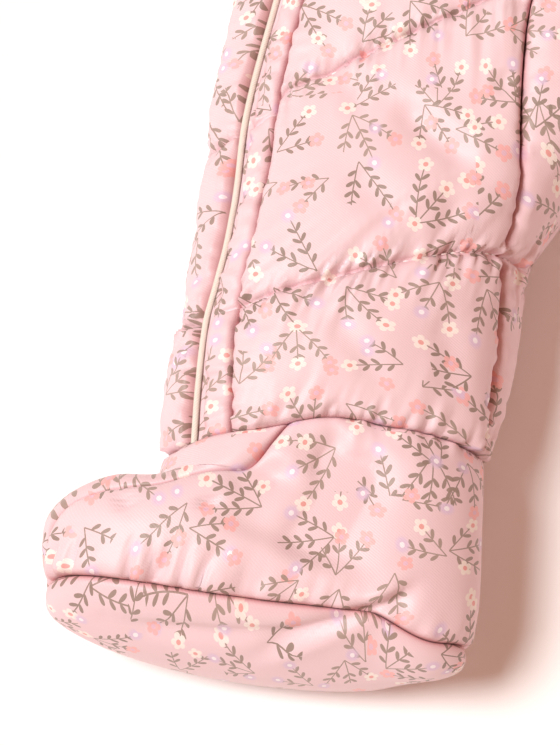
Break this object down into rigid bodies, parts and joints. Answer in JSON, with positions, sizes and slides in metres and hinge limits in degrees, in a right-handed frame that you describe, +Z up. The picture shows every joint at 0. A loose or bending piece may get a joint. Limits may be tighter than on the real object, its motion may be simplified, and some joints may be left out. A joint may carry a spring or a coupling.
{
  "type": "baby snowsuit",
  "caption": "Padded baby snowsuit with a hood, integral booties and a diagonal zip under a piped flap, filled out and lying on its back.",
  "frame": {"origin": "centre of the bounding box's underside, on the surface that the garment lies on", "axes": "+Z up from that surface, +Y towards the hood, and the wearer's right side at -X"},
  "size_m": [0.6262, 0.7413, 0.0686],
  "materials": {
    "printed_twill": "soft satin twill, padded",
    "cream_cord": "matt corded piping",
    "zip_band": "matt woven tape"
  },
  "bodies": {
    "root": {"back": "printed_twill", "cuff_left": "printed_twill", "cuff_right": "printed_twill", "foot_inner_left": "printed_twill", "foot_inner_right": "printed_twill", "foot_outer_left": "printed_twill", "foot_outer_right": "printed_twill", "front_left": "printed_twill", "front_right": "printed_twill", "hood_centre": "printed_twill", "hood_left": "printed_twill", "hood_right": "printed_twill", "inner_leg_gusset": "printed_twill", "sleeve_left": "printed_twill", "sleeve_right": "printed_twill", "sole_left": "printed_twill", "sole_right": "printed_twill", "vamp_left": "printed_twill", "vamp_right": "printed_twill", "zip_flap": "printed_twill", "zip_piping": "cream_cord", "zip_tape": "zip_band"}
  },
  "joints": []
}
